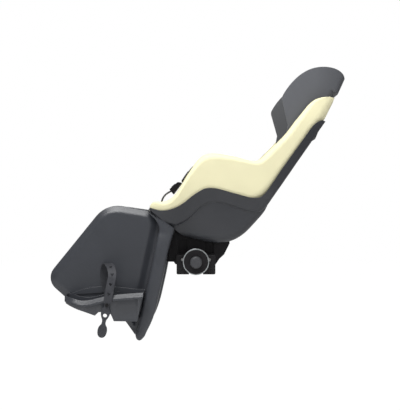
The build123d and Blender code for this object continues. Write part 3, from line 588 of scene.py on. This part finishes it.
def blown(mesh, voxel, cap, resting):
    """Closed mesh made puffy: even faces, a short cloth simulation under pressure, one subdivision."""
    bm = bmesh.new()
    bm.from_mesh(mesh)
    bmesh.ops.remove_doubles(bm, verts=bm.verts, dist=0.0002)
    bm.to_mesh(mesh)
    bm.free()
    work = bpy.data.objects.new("pad_work", mesh)
    scene.collection.objects.link(work)
    even = work.modifiers.new("even", "REMESH")
    even.mode = "VOXEL"
    even.voxel_size = voxel
    work.data = settled(work)
    work.modifiers.clear()
    start = [v.co.copy() for v in work.data.vertices]
    held = work.vertex_groups.new(name="held")
    held.add([v.index for v in work.data.vertices if resting(v)], 1.0, "REPLACE")
    cloth = work.modifiers.new("cloth", "CLOTH")
    cloth.settings.use_pressure = True
    cloth.settings.uniform_pressure_force = PRESSURE
    cloth.settings.vertex_group_mass = "held"
    cloth.settings.effector_weights.gravity = 0
    cloth.point_cache.frame_start = 1
    cloth.point_cache.frame_end = LAST_FRAME
    for frame_number in range(1, LAST_FRAME + 1):
        scene.frame_set(frame_number)
    swollen = settled(work)
    work.modifiers.clear()
    for v, old, new in zip(work.data.vertices, start, swollen.vertices):
        step = new.co - old
        v.co = old + step * min(1.0, cap / max(step.length, 1e-9))
    scene.frame_set(1)
    fine = work.modifiers.new("fine", "SUBSURF")
    fine.levels = fine.render_levels = 1
    result = settled(work)
    bpy.data.objects.remove(work)
    return result


SWING = Vector((-0.060, 0, 0.515))
ON_SHELL, TO_CHILD = 0.35, -0.2


def from_lap(co):
    """Direction away from the line across the lap that the shells are swung about."""
    return Vector((co.x - SWING.x, 0, co.z - SWING.z)).normalized()


def on_shell(v):
    return v.normal.dot(from_lap(v.co)) > ON_SHELL


pads = {}
for name in ("seat_liner", "back_liner"):
    pads[name] = blown(nodes[name].data.copy(), voxel=0.005, cap=0.006, resting=on_shell)
    print(name, "faces:", len(pads[name].polygons))

# %% [markdown]
# Sewn channels hold the fabric down on the foam. They are made after the simulation, because its even faces are
# wider than a seam: points near a seam line move towards the shell, most on the line and less beside it. The seat
# liner has three seams across, the back liner one, and both have a seam along each side.

# %% Sewn channels
SEAMS = {"seat_liner": (9.0, 17.0, 25.0), "back_liner": (49.0,)}
EDGE_SEAM = 0.068
SEAM_DEEP, SEAM_WIDE = 0.0028, 0.0034


def lap_angle(co):
    """Angle of a point about the lap line, in degrees from straight down."""
    return math.degrees(math.atan2(co.x - SWING.x, SWING.z - co.z))


def seam_depth(co, angles):
    reach = math.hypot(co.x - SWING.x, co.z - SWING.z)
    gaps = [math.radians(abs(lap_angle(co) - angle)) * reach for angle in angles] + [abs(abs(co.y) - EDGE_SEAM)]
    return SEAM_DEEP * math.exp(-((min(gaps) / SEAM_WIDE) ** 2))


liners = {}
for name, mesh in pads.items():
    for v in mesh.vertices:
        if v.normal.dot(from_lap(v.co)) < TO_CHILD:
            v.co += from_lap(v.co) * seam_depth(v.co, SEAMS[name])
    liners[name] = piece(name + "_pad", mesh, "liner_fabric", "seat", [name])
print("liners:", sorted(liners))

# %% [markdown]
# A shoulder pad is a sleeve of the same fabric round the webbing. It starts as a short thick strap on the same
# line and is blown up like the liners, with nothing pinned.

# %% Shoulder pads
PAD_FROM, PAD_TO = 105 * MM, 205 * MM
shoulder_pads = {}
for side, word in ((-1, "left"), (1, "right")):
    line = [spot for spot in shoulder_line(side) if PAD_FROM < spot.x < PAD_TO]
    mesh = ribbon(line, wide=32 * MM, thick=7 * MM)
    mesh = blown(mesh, voxel=0.004, cap=0.003, resting=lambda v: False)
    shoulder_pads[word] = piece(word + "_sleeve_pad", mesh, "liner_fabric", "seat", [word + "_shoulder_pad"])
    print(word, "pad faces:", len(mesh.polygons))

# %% [markdown]
# A seam shows as a row of short thread stitches. One Geometry Nodes tree makes every row: it turns a line of
# edges into a curve, walks along it at one spacing, and sets a small rounded stitch at each place, turned along
# the line.

# %% Stitch tree
thread = Finish("thread")
twist = thread.noise(thread.place(), scale=2200.0, detail=2.0)
thread.set(base_color=thread.mix(twist, (0.20, 0.20, 0.21), (0.42, 0.42, 0.43)), roughness=twist * 0.2 + 0.6)
finishes["thread"] = thread.material


def stitch_tree():
    tree = bpy.data.node_groups.new("stitch_row", "GeometryNodeTree")
    tree.interface.new_socket("Line", in_out="INPUT", socket_type="NodeSocketGeometry")
    for label in ("Spacing", "Length", "Radius"):
        tree.interface.new_socket(label, in_out="INPUT", socket_type="NodeSocketFloat")
    tree.interface.new_socket("Thread", in_out="INPUT", socket_type="NodeSocketMaterial")
    tree.interface.new_socket("Stitches", in_out="OUTPUT", socket_type="NodeSocketGeometry")
    add, link = tree.nodes.new, tree.links.new
    given, shown = add("NodeGroupInput"), add("NodeGroupOutput")
    curve, even = add("GeometryNodeMeshToCurve"), add("GeometryNodeResampleCurve")
    tangent = add("GeometryNodeInputTangent")
    even.mode = "LENGTH"
    ball, size = add("GeometryNodeMeshUVSphere"), add("ShaderNodeCombineXYZ")
    ball.inputs["Segments"].default_value = 6
    ball.inputs["Rings"].default_value = 4
    turn = add("FunctionNodeAlignRotationToVector")
    turn.axis = "Z"
    each, real = add("GeometryNodeInstanceOnPoints"), add("GeometryNodeRealizeInstances")
    paint = add("GeometryNodeSetMaterial")
    link(given.outputs["Line"], curve.inputs[0])
    link(curve.outputs[0], even.inputs["Curve"])
    link(given.outputs["Spacing"], even.inputs["Length"])
    link(even.outputs[0], each.inputs["Points"])
    link(ball.outputs[0], each.inputs["Instance"])
    link(tangent.outputs[0], turn.inputs["Vector"])
    link(turn.outputs[0], each.inputs["Rotation"])
    link(given.outputs["Radius"], size.inputs[0])
    link(given.outputs["Radius"], size.inputs[1])
    link(given.outputs["Length"], size.inputs[2])
    link(size.outputs[0], each.inputs["Scale"])
    link(each.outputs[0], real.inputs[0])
    link(real.outputs[0], paint.inputs[0])
    link(given.outputs["Thread"], paint.inputs["Material"])
    link(paint.outputs[0], shown.inputs[0])
    return tree


STITCHES = stitch_tree()


def stitched(name, lines, spacing=0.0042, length=0.0015, radius=0.00045):
    """Rows of stitches along lines of points, as one piece on the seat."""
    mesh = bpy.data.meshes.new(name)
    points, edges = [], []
    for line in lines:
        edges += [(len(points) + i, len(points) + i + 1) for i in range(len(line) - 1)]
        points += line
    mesh.from_pydata(points, edges, [])
    work = bpy.data.objects.new("stitch_work", mesh)
    scene.collection.objects.link(work)
    rows = work.modifiers.new("rows", "NODES")
    rows.node_group = STITCHES
    values = {"Spacing": spacing, "Length": length, "Radius": radius, "Thread": finishes["thread"]}
    for item in STITCHES.interface.items_tree:
        if item.in_out == "INPUT" and item.name in values:
            rows[item.identifier] = values[item.name]
    result = settled(work)
    bpy.data.objects.remove(work)
    obj = bpy.data.objects.new(name, result)
    scene.collection.objects.link(obj)
    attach(obj, "seat")
    return obj


print("stitch inputs:", [i.name for i in STITCHES.interface.items_tree if i.in_out == "INPUT"])

# %% [markdown]
# The lines that the stitches follow lie on the pads. They are found by dropping points: straight away from the
# lap onto the liners' seams, and straight down onto both edges of the shoulder pads.

# %% Stitch rows
ROW_HALF, ROW_STEP, EDGE_STEPS = 64, 2, 60
SLEEVE_SEAM, SLEEVE_END, DROP = 0.0125, 0.004, 0.04


def dropped(tree, start, way, lift=0.0002):
    """Where a straight line from a start first meets a pad, a hair above it; None where it misses."""
    hit = tree.ray_cast(start, way)[0]
    return hit - way * lift if hit else None


def solid_tree(obj):
    return BVHTree.FromPolygons([v.co for v in obj.data.vertices], [p.vertices for p in obj.data.polygons])


liner_rows = []
for name, obj in liners.items():
    tree = solid_tree(obj)
    low, high = [f(lap_angle(v.co) for v in obj.data.vertices) for f in (min, max)]
    for angle in SEAMS[name]:
        way = Vector((math.sin(math.radians(angle)), 0, -math.cos(math.radians(angle))))
        row = [dropped(tree, SWING + across * (y * MM), way) for y in range(-ROW_HALF, ROW_HALF + 1, ROW_STEP)]
        liner_rows.append([spot for spot in row if spot])
    for y in (-EDGE_SEAM, EDGE_SEAM):
        ways = [math.radians(low + 1 + (high - low - 2) * i / EDGE_STEPS) for i in range(EDGE_STEPS + 1)]
        row = [dropped(tree, SWING + across * y, Vector((math.sin(a), 0, -math.cos(a)))) for a in ways]
        liner_rows.append([spot for spot in row if spot])
liner_stitches = stitched("liner_stitches", liner_rows)
pad_rows = []
for side, word in ((-1, "left"), (1, "right")):
    tree = solid_tree(shoulder_pads[word])
    line = [spot for spot in shoulder_line(side) if PAD_FROM + SLEEVE_END < spot.x < PAD_TO - SLEEVE_END]
    for shift in (-SLEEVE_SEAM, SLEEVE_SEAM):
        starts = [spot + across * shift + Vector((0, 0, DROP)) for spot in line]
        row = [dropped(tree, start, Vector((0, 0, -1))) for start in starts]
        pad_rows.append([spot for spot in row if spot])
sleeve_stitches = stitched("sleeve_stitches", pad_rows)
print("stitch faces:", len(liner_stitches.data.polygons), len(sleeve_stitches.data.polygons))

# %% [markdown]
# A foot strap is punched from a flat sheet of rubber: an eye at each peg, three-cornered holes for adjusting, a
# ring and a pull tab. So it is drawn flat first, as a filled 2D curve with its holes, a little bevel giving the
# soft edge. Then the flat piece is cut into short lengths and laid along its course: up from the inner peg, over
# the foot in a loose loop that leans forward, and down outside to the outer peg.

# %% Foot straps
PEG = Vector((-226, 0, -93.5)) * MM
STRAP_IN, STRAP_OUT = -107.75 * MM, -190.25 * MM
STRAP_THICK, STRAP_SOFT, STRAP_STEP = 3 * MM, 0.0004, 0.004
LEAN = math.radians(10.3)
DOWN = Vector((-math.sin(LEAN), 0, -math.cos(LEAN)))
outer_peg = Vector((PEG.x, STRAP_OUT, PEG.z))
course = [(PEG.x, STRAP_IN, PEG.z), (-0.2325, STRAP_IN, -0.072), (-0.2395, -0.1085, -0.048),
          (-0.2425, -0.1125, -0.024), (-0.2385, -0.125, -0.002), (-0.228, -0.150, 0.0082),
          (-0.2165, -0.176, -0.003), (-0.2128, -0.1878, -0.020),
          outer_peg - DOWN * 0.058, outer_peg - DOWN * 0.040, outer_peg - DOWN * 0.020, outer_peg,
          outer_peg + DOWN * 0.030, outer_peg + DOWN * 0.060, outer_peg + DOWN * 0.090]
strap_line = smooth_line(course)
strap_run = [0.0]
for a, b in zip(strap_line, strap_line[1:]):
    strap_run.append(strap_run[-1] + (b - a).length)
nearest = min(range(len(strap_line)), key=lambda i: (strap_line[i] - outer_peg).length)
PEG_RUN = strap_run[nearest]
print("strap course:", round(strap_run[-1], 3), "of it to the outer peg:", round(PEG_RUN, 3))

# %% [markdown]
# The flat strap's outline is a row of half widths, mirrored. Along counts from the outer peg, in millimetres: the
# pull tab lies below it, the inner end above it.

# %% Flat strap
OUTLINE = [(-83.3, 4), (-79, 9), (-71, 11.6), (-62, 11.6), (-55.5, 9.6), (-50, 5.8), (-44, 4.7), (-38, 5.6),
           (-32, 8.6), (-24, 11.2), (-16, 11.4), (-10, 9.2), (-5, 6.8), (0, 6.4), (4, 7.4), (9, 10.2),
           (14, 10.5), (60, 10.5)]
inner_end = PEG_RUN / MM
OUTLINE += [(inner_end - 40, 10.5), (inner_end, 10.5), (inner_end + 6, 7.5), (inner_end + 8.5, 3)]
EYE_RADIUS, RING_AT, RING_RADII = 3.7, -27, (4.6, 5.2)
HOLES_AT, HOLE = (27, 52, 77, 102), [(3.8, 5), (3.8, -5), (-4, 0)]


def flat_spline(curve, points, smooth=True):
    """Closed outline in a flat curve, through points in millimetres."""
    spline = curve.splines.new("BEZIER" if smooth else "POLY")
    spline.use_cyclic_u = True
    if smooth:
        spline.bezier_points.add(len(points) - 1)
        for knot, (x, y) in zip(spline.bezier_points, points):
            knot.co = (x * MM, y * MM, 0)
            knot.handle_left_type = knot.handle_right_type = "AUTO"
    else:
        spline.points.add(len(points) - 1)
        for knot, (x, y) in zip(spline.points, points):
            knot.co = (x * MM, y * MM, 0, 1)


def ring_of(at, along, aside, count=8):
    turns = [2 * math.pi * i / count for i in range(count)]
    return [(at + along * math.cos(t), aside * math.sin(t)) for t in turns]


def flat_strap():
    """The strap as punched: along is x, from the pull tab to the inner end; across is y."""
    curve = bpy.data.curves.new("flat_strap", "CURVE")
    curve.dimensions = "2D"
    curve.fill_mode = "BOTH"
    curve.resolution_u = 5
    curve.bevel_depth = STRAP_SOFT
    curve.bevel_resolution = 1
    curve.offset = -STRAP_SOFT
    curve.extrude = STRAP_THICK / 2 - STRAP_SOFT
    flat_spline(curve, OUTLINE + [(x, -y) for x, y in reversed(OUTLINE)])
    flat_spline(curve, ring_of(0, EYE_RADIUS, EYE_RADIUS))
    flat_spline(curve, ring_of(inner_end, EYE_RADIUS, EYE_RADIUS))
    flat_spline(curve, ring_of(RING_AT, *RING_RADII))
    for at in HOLES_AT:
        flat_spline(curve, [(at + x, y) for x, y in HOLE], smooth=False)
    work = bpy.data.objects.new("flat_strap", curve)
    scene.collection.objects.link(work)
    mesh = settled(work)
    bpy.data.objects.remove(work)
    return mesh


print("outline points:", 2 * len(OUTLINE), "holes:", 3 + len(HOLES_AT))

# %% [markdown]
# Laying the strap bends it. A curve modifier could do it, but it twists where the course turns sharply, so each
# point is placed from the course itself: along by the length run, across level to the front, and the thickness at
# a right angle to both.

# %% Lay the straps


def along_course(run):
    """Place and forward direction on the strap's course at a run from the inner peg."""
    i = max(1, min(len(strap_run) - 1, bisect.bisect_left(strap_run, run)))
    a, b = strap_line[i - 1], strap_line[i]
    share = (run - strap_run[i - 1]) / (strap_run[i] - strap_run[i - 1])
    before, after = strap_line[max(i - 2, 0)], strap_line[min(i + 1, len(strap_line) - 1)]
    ahead = ((b - before).normalized() * (1 - share) + (after - a).normalized() * share).normalized()
    return a.lerp(b, share), ahead


def laid_strap(mirrored):
    """Flat strap cut into short lengths and bent along its course."""
    bm = bmesh.new()
    bm.from_mesh(flat_strap())
    bmesh.ops.remove_doubles(bm, verts=bm.verts, dist=0.00003)
    low, high = [f(v.co.x for v in bm.verts) for f in (min, max)]
    for i in range(1, int((high - low) / STRAP_STEP)):
        cut = bm.verts[:] + bm.edges[:] + bm.faces[:]
        bmesh.ops.bisect_plane(bm, geom=cut, plane_co=(low + i * STRAP_STEP, 0, 0), plane_no=(1, 0, 0))
    for v in bm.verts:
        spot, ahead = along_course(PEG_RUN - v.co.x)
        side = Vector((1, 0, 0))
        side = (side - ahead * side.dot(ahead)).normalized()
        v.co = spot + side * v.co.y + side.cross(ahead) * v.co.z
        if mirrored:
            v.co.y = -v.co.y
    bmesh.ops.recalc_face_normals(bm, faces=bm.faces)
    return as_mesh(bm, "foot_strap")


for word in ("left", "right"):
    mesh = laid_strap(mirrored=word == "right")
    obj = piece(word + "_toe_strap", mesh, "strap_rubber", word + "_footrest", [word + "_foot_strap"])
    obj.data.set_sharp_from_angle(angle=math.radians(40))
    print(obj.name, "faces:", len(mesh.polygons))

# %% [markdown]
# A leg guard is one moulding: a thin panel whose border falls away softly towards the wheel, and a thick rail
# beside it that the foot tray slides on. The panel's relief follows one rule, the distance from its border, so it
# is made as a flat filled outline, cut into a fine grid, and each point is set forward by that distance.
# Sculpting by hand would give the same form, but not twice alike.

# %% Leg guard panels
PANEL = [(-61, 100.5), (-122.5, 148), (-240, 165), (-403, -36), (-340, -92), (-193, -142), (-157, -193),
         (-118, -140)]
PANEL_ROUND = [2, 3, 74, 38, 34, 10, 10, 30]
PLATEAU = [(-97, 141), (-240, 165), (-403, -36), (-340, -92), (-193, -142), (-166, -172)]
PLATEAU_ROUND = [34, 74, 38, 34, 10, 8]
PANEL_FACE, PANEL_FALL, BORDER = 102 * MM, 9.5 * MM, 16 * MM
PANEL_THICK, PANEL_SOFT, GRID = 3.2 * MM, 0.8 * MM, 3.5 * MM
FALL_BEND = 0.25


def rounded_loop(corners, radii, steps=7):
    """Closed outline with each corner replaced by an arc, as points in metres."""
    loop = []
    for i, (corner, radius) in enumerate(zip(corners, radii)):
        spot = Vector(corner)
        back = (Vector(corners[i - 1]) - spot).normalized()
        ahead = (Vector(corners[(i + 1) % len(corners)]) - spot).normalized()
        half = back.angle(ahead) / 2
        reach = radius / math.tan(half)
        centre = spot + (back + ahead).normalized() * (radius / math.sin(half))
        start, end = spot + back * reach - centre, spot + ahead * reach - centre
        turn = start.angle_signed(end)
        for k in range(steps + 1):
            loop.append((centre + Matrix.Rotation(-turn * k / steps, 2) @ start) * MM)
    return loop


def closest_on(spot, a, b):
    share = (spot - a).dot(b - a) / max((b - a).length_squared, 1e-12)
    return a + (b - a) * min(1.0, max(0.0, share))


def border_distance(spot, loop):
    """How far a point lies inside an outline; below zero outside it."""
    near = min((spot - closest_on(spot, a, b)).length for a, b in zip(loop, loop[1:] + loop[:1]))
    inside = False
    for a, b in zip(loop, loop[1:] + loop[:1]):
        if (a.y > spot.y) != (b.y > spot.y) and spot.x < (b.x - a.x) * (spot.y - a.y) / (b.y - a.y) + a.x:
            inside = not inside
    return near if inside else -near


def panel_sheet():
    """Outer face of the left panel: filled outline on a fine grid, set forward away from its border."""
    bm = bmesh.new()
    bm.faces.new([bm.verts.new((p.x, 0, p.y)) for p in rounded_loop(PANEL, PANEL_ROUND)])
    for axis in (0, 2):
        way = Vector((axis == 0, 0, axis == 2))
        low, high = [f(v.co[axis] for v in bm.verts) for f in (min, max)]
        for i in range(1, int((high - low) / GRID)):
            cut = bm.verts[:] + bm.edges[:] + bm.faces[:]
            bmesh.ops.bisect_plane(bm, geom=cut, plane_co=way * (low + i * GRID), plane_no=way)
    plateau = rounded_loop(PLATEAU, PLATEAU_ROUND)
    for v in bm.verts:
        share = max(0.0, border_distance(Vector((v.co.x, v.co.z)), plateau) / BORDER)
        fall = 1 - share if share < 1 - FALL_BEND else max(0.0, 1 + FALL_BEND - share) ** 2
        v.co.y = PANEL_FALL * fall - PANEL_FACE
    return as_mesh(bm, "panel")


work = bpy.data.objects.new("panel_work", panel_sheet())
scene.collection.objects.link(work)
thick = work.modifiers.new("thick", "SOLIDIFY")
thick.thickness = PANEL_THICK
thick.offset = -1
edge = work.modifiers.new("edge", "BEVEL")
edge.width = PANEL_SOFT
edge.segments = 2
edge.limit_method = "ANGLE"
edge.angle_limit = math.radians(50)
panel_mesh = settled(work)
bpy.data.objects.remove(work)
panel_y = [round(f(v.co.y for v in panel_mesh.vertices), 4) for f in (min, max)]
print("panel faces:", len(panel_mesh.polygons), "y:", panel_y)

# %% [markdown]
# The rail is drawn as a flat outline with a wide round bevel, which gives it the soft, full edge of a moulded bar
# in one step. A long box is then cut out of its front for the tray's tongue, its top is kept under the seat's
# front lip, and panel and rail become one piece.

# %% Leg guard rails
RAIL = [(-125.5, 153.5), (-123.5, 141), (-104, 118), (-97, 99), (-101.5, 76), (-119.5, -14), (-142, -112),
        (-153.6, -165), (-158.3, -180), (-150, -193), (-138.5, -187), (-128, -168), (-114, -138), (-93.5, -60),
        (-73, 38), (-56, 100.5)]
RAIL_IN, RAIL_OUT, RAIL_SOFT = 97 * MM, 140 * MM, 7 * MM
RAIL_LEAN = math.atan2(55, 254)
RAIL_BEND, RAIL_CURVE, RAIL_TOP_IN = 25 * MM, 2.0, 8 * MM
TRACK_SPOT, TRACK_SIZE = Vector((-132.5, -120, -60)) * MM, (0.030, 0.012, 0.230)
# foot and rise of the base's slanted front wall, and the room for the seat's front lip beside the rail
WALL_FOOT, WALL_RISE = (-57 * MM, 97 * MM), 54 / 66.5
LIP_SIDE, LIP_ROOM = 129.5 * MM, 9 * MM
MERGE = 0.00002


def rail_solid():
    """Left rail between its inner and outer face, with round edges."""
    curve = bpy.data.curves.new("rail", "CURVE")
    curve.dimensions = "2D"
    curve.fill_mode = "BOTH"
    curve.resolution_u = 6
    curve.bevel_depth = RAIL_SOFT
    curve.bevel_resolution = 4
    curve.offset = -RAIL_SOFT
    curve.extrude = (RAIL_OUT - RAIL_IN) / 2 - RAIL_SOFT
    flat_spline(curve, RAIL)
    for knot in curve.splines[0].bezier_points[:1] + curve.splines[0].bezier_points[-1:]:
        knot.handle_left_type = knot.handle_right_type = "VECTOR"
    work = bpy.data.objects.new("rail_work", curve)
    scene.collection.objects.link(work)
    mesh = settled(work)
    bpy.data.objects.remove(work)
    for v in mesh.vertices:
        depth = v.co.z - (RAIL_IN + RAIL_OUT) / 2
        lean = min(RAIL_TOP_IN, max(0.0, v.co.y - RAIL_BEND) ** 2 * RAIL_CURVE)
        v.co = (v.co.x, depth + lean * (-depth - RAIL_IN) / (RAIL_OUT - RAIL_IN), v.co.y)
    return mesh


def track_box():
    """Box that cuts the track into the rail's front."""
    bm = bmesh.new()
    bmesh.ops.create_cube(bm, size=1)
    place = Matrix.Translation(TRACK_SPOT) @ Matrix.Rotation(RAIL_LEAN, 4, "Y")
    bmesh.ops.transform(bm, matrix=place @ Matrix.Diagonal((*TRACK_SIZE, 1)), verts=bm.verts)
    return as_mesh(bm, "track")


def closed(mesh):
    """The mesh with its doubles merged and its faces pointing outwards."""
    bm = bmesh.new()
    bm.from_mesh(mesh)
    bmesh.ops.remove_doubles(bm, verts=bm.verts, dist=MERGE)
    bmesh.ops.recalc_face_normals(bm, faces=bm.faces)
    bm.to_mesh(mesh)
    bm.free()
    return mesh


work = bpy.data.objects.new("rail_work", closed(rail_solid()))
tool = bpy.data.objects.new("track_work", closed(track_box()))
for obj in (work, tool):
    scene.collection.objects.link(obj)
cut = work.modifiers.new("track", "BOOLEAN")
cut.object = tool
cut.solver = "EXACT"
rail_mesh = settled(work)
bpy.data.objects.remove(work)
bpy.data.objects.remove(tool)
for v in rail_mesh.vertices:
    if -v.co.y < LIP_SIDE:
        v.co.z = min(v.co.z, WALL_FOOT[1] - LIP_ROOM + (WALL_FOOT[0] - v.co.x) * WALL_RISE)
for word in ("left", "right"):
    bm = bmesh.new()
    bm.from_mesh(panel_mesh)
    bm.from_mesh(rail_mesh)
    if word == "right":
        for v in bm.verts:
            v.co.y = -v.co.y
        bmesh.ops.reverse_faces(bm, faces=bm.faces)
    mesh = as_mesh(bm, "guard")
    obj = piece(word + "_guard_moulding", mesh, "shell_charcoal", "seat", [word + "_leg_guard"])
    obj.data.set_sharp_from_angle(angle=math.radians(38))
    print(obj.name, "faces:", len(mesh.polygons))

# %% [markdown]
# The border of a foot tray is a wide slope that catches the light from above. The CAD tray has the same border
# with a short bevel, so the tray's mesh is copied and three rows of its points are moved: the bevel's lower edge
# down, its upper edge and the brim above it in. Moving rows keeps the rest, such as the tongue and the holes,
# where the frame has it.

# %% Tray borders
LOWER_DOWN, UPPER_IN, BRIM_IN = 6.5 * MM, 1.8 * MM, 2.6 * MM
WALL_DEEP, BRIM_TALL = 5 * MM, 0.8 * MM
# how faces are told apart by their normals: the bevel's slope, the outer side, an upright wall, the same direction
SLOPE, OUTWARD, UPRIGHT, SAME_WALL, SAME_BRIM = (0.5, 0.85), 0.3, 0.15, 0.7, 0.8


def sloped_tray(source, side):
    """Copy of a tray's mesh with the bevel of its outer border made wider, and the number of points moved."""
    bm = bmesh.new()
    bm.from_mesh(source.data)
    bmesh.ops.transform(bm, matrix=source.matrix_world, verts=bm.verts)
    bmesh.ops.remove_doubles(bm, verts=bm.verts, dist=MERGE)
    bmesh.ops.recalc_face_normals(bm, faces=bm.faces)
    bm.normal_update()
    upper, lower, brim = {}, {}, {}
    for face in bm.faces:
        if not SLOPE[0] < face.normal.z < SLOPE[1] or face.normal.y * side < OUTWARD:
            continue
        out = Vector((face.normal.x, face.normal.y, 0)).normalized()
        for v in face.verts:
            walls = [f for f in v.link_faces if abs(f.normal.z) < UPRIGHT and f.normal.dot(out) > SAME_WALL]
            deep = any(w.co.z < v.co.z - WALL_DEEP for wall in walls for w in wall.verts)
            (lower if deep else upper).setdefault(v, out)
    for v, out in upper.items():
        for face in v.link_faces:
            if abs(face.normal.z) < UPRIGHT and face.normal.dot(out) > SAME_BRIM:
                brim.update((w, out) for w in face.verts if w.co.z > v.co.z + BRIM_TALL and w not in upper)
    for v in lower:
        v.co.z -= LOWER_DOWN
    for row, inward in ((upper, UPPER_IN), (brim, BRIM_IN)):
        for v, out in row.items():
            v.co -= out * inward
    mesh = as_mesh(bm, "tray")
    return mesh, [len(row) for row in (brim, upper, lower)]


for side, word in ((-1, "left"), (1, "right")):
    mesh, moved = sloped_tray(nodes[word + "_footrest"], side)
    obj = piece(word + "_foot_tray", mesh, "shell_charcoal", word + "_footrest", [word + "_footrest"])
    obj.data.set_sharp_from_angle(angle=math.radians(12))
    print(obj.name, "border points:", moved)

# %% [markdown]
# The bracket's front shoulder carries the base up to its slanted front wall. It is a plain block with soft edges
# whose top runs into the base, so it needs no exact contact line.

# %% Bracket shoulder
BLOCK_SPOT, BLOCK_SIZE, BLOCK_SOFT = Vector((-58, 0, 85.5)) * MM, (40 * MM, 84 * MM, 19 * MM), 2 * MM
bm = bmesh.new()
bmesh.ops.create_cube(bm, size=1)
bmesh.ops.transform(bm, matrix=Matrix.Diagonal((*BLOCK_SIZE, 1)), verts=bm.verts)
bmesh.ops.transform(bm, matrix=Matrix.Translation(BLOCK_SPOT), verts=bm.verts)
bmesh.ops.bevel(bm, geom=bm.edges[:], offset=BLOCK_SOFT, segments=3, affect="EDGES", profile=0.5)
mesh = as_mesh(bm, "shoulder")
shoulder = piece("bracket_shoulder", mesh, "bracket_black", "seat")
shoulder.data.set_sharp_from_angle(angle=math.radians(30))
print("bracket shoulder faces:", len(mesh.polygons))

# %% [markdown]
